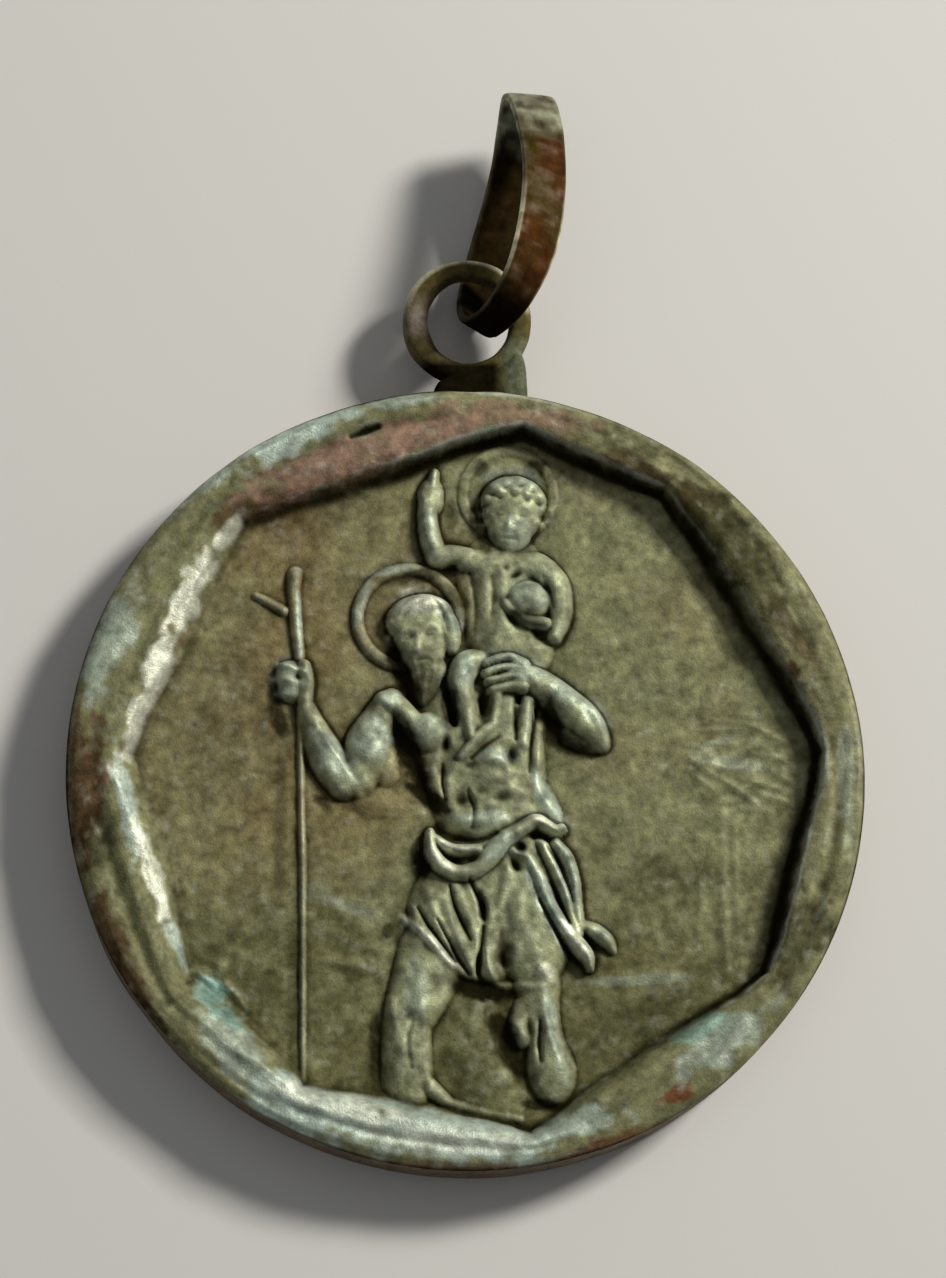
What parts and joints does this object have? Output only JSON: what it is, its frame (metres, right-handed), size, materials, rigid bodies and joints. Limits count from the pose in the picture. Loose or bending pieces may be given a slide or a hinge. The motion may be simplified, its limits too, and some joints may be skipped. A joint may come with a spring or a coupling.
{
  "type": "religious medal pendant",
  "caption": "Round cast medal pendant with a raised wavy rim and a figure in relief, a fixed eye ring on its top edge and a strip bail looped through it.",
  "frame": {"origin": "centre of the medal's flat back, which lies on the surface below it", "axes": "+Z out of the medal's front, +Y from the medal's centre to the eye ring, +X to the right as seen from the front"},
  "size_m": [0.022, 0.0309, 0.0041],
  "materials": {
    "aged_silver": "cast silver with a grey-green tarnish, dark in the hollows and worn bright on the high places, with violet-brown and blue-grey patches on the rim",
    "browned_silver": "bent silver strip with a red-brown tarnish, grey at its top and worn bright along its edges"
  },
  "bodies": {
    "root": {"medal": "aged_silver", "bail": "browned_silver"}
  },
  "joints": []
}
